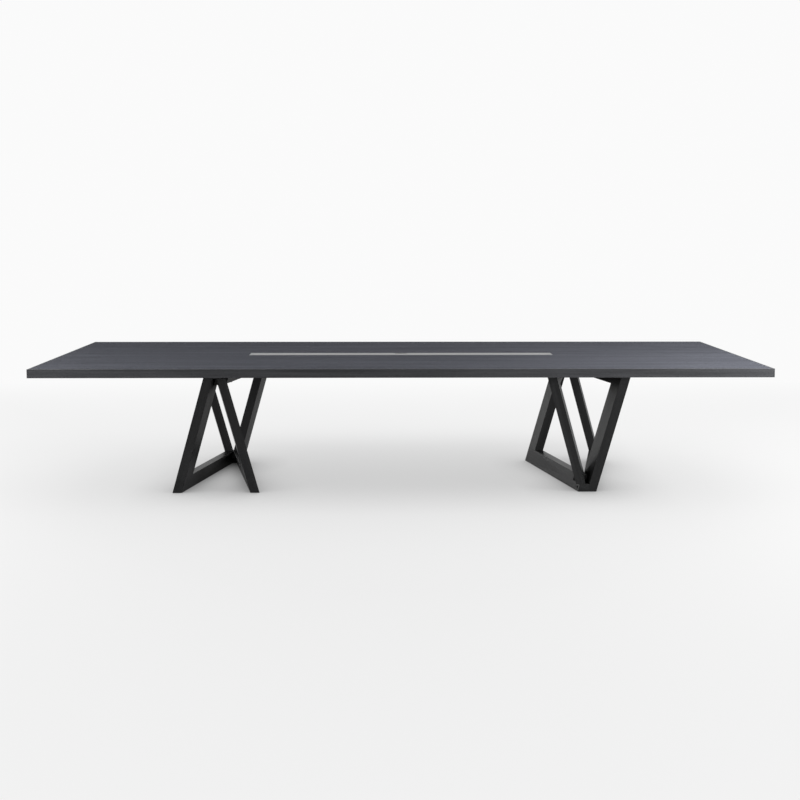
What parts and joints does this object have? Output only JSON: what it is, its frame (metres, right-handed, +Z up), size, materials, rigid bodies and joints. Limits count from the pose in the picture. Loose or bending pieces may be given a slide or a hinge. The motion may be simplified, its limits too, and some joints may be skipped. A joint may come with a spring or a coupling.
{
  "type": "dining table",
  "caption": "Long rectangular black table with a lidded cable port let into the middle of the top, on open trestles of leaning boards.",
  "frame": {"origin": "on the floor, below the middle of the top", "axes": "+X along the length of the top to the right, +Y from the front edge to the rear edge, +Z up"},
  "size_m": [4, 1.2, 0.74],
  "materials": {
    "black_veneer": "black-stained veneer, satin lacquer",
    "black_lipping": "black-stained solid wood, satin lacquer",
    "black_wood": "black-stained solid wood, satin lacquer",
    "satin_aluminium": "satin anodised",
    "steel": "zinc plated",
    "black_sheet": "black powder coat",
    "beech": "plain",
    "felt": "pressed felt",
    "rubber": "matte"
  },
  "bodies": {
    "table": {"top_front_panel": "black_veneer", "top_rear_panel": "black_veneer", "top_left_infill": "black_veneer", "top_right_infill": "black_veneer", "front_lipping": "black_lipping", "rear_lipping": "black_lipping", "left_lipping": "black_lipping", "right_lipping": "black_lipping", "right_inner_foot_bar": "black_wood", "right_inner_top_bar": "black_wood", "right_inner_front_leg": "black_wood", "right_inner_rear_leg": "black_wood", "right_outer_foot_bar": "black_wood", "right_outer_top_bar": "black_wood", "right_outer_front_leg": "black_wood", "right_outer_rear_leg": "black_wood", "left_inner_foot_bar": "black_wood", "left_inner_top_bar": "black_wood", "left_inner_front_leg": "black_wood", "left_inner_rear_leg": "black_wood", "left_outer_foot_bar": "black_wood", "left_outer_top_bar": "black_wood", "left_outer_front_leg": "black_wood", "left_outer_rear_leg": "black_wood", "port_front_rail": "satin_aluminium", "port_rear_rail": "satin_aluminium", "port_left_end": "satin_aluminium", "port_right_end": "satin_aluminium", "port_bridge": "satin_aluminium", "left_ledge": "satin_aluminium", "right_ledge": "satin_aluminium", "lid_pins": "steel", "tray_screws": "steel", "corner_screws": "steel", "fixing_screws": "steel", "cable_tray": "black_sheet", "loose_tenons": "beech", "top_splines": "beech", "felt_pads": "felt", "lid_bumpers": "rubber"},
    "left_flap": {"left_lid": "satin_aluminium"},
    "right_flap": {"right_lid": "satin_aluminium"}
  },
  "joints": [
    {"name": "left_lid_hinge", "type": "hinge", "parent": "table", "child": "left_flap", "pos_m": [-0.45, -0.0287, 0.7336], "axis": [1, 0, 0], "range_deg": [0, 95]},
    {"name": "right_lid_hinge", "type": "hinge", "parent": "table", "child": "right_flap", "pos_m": [0.45, -0.0287, 0.7336], "axis": [1, 0, 0], "range_deg": [0, 95]}
  ]
}
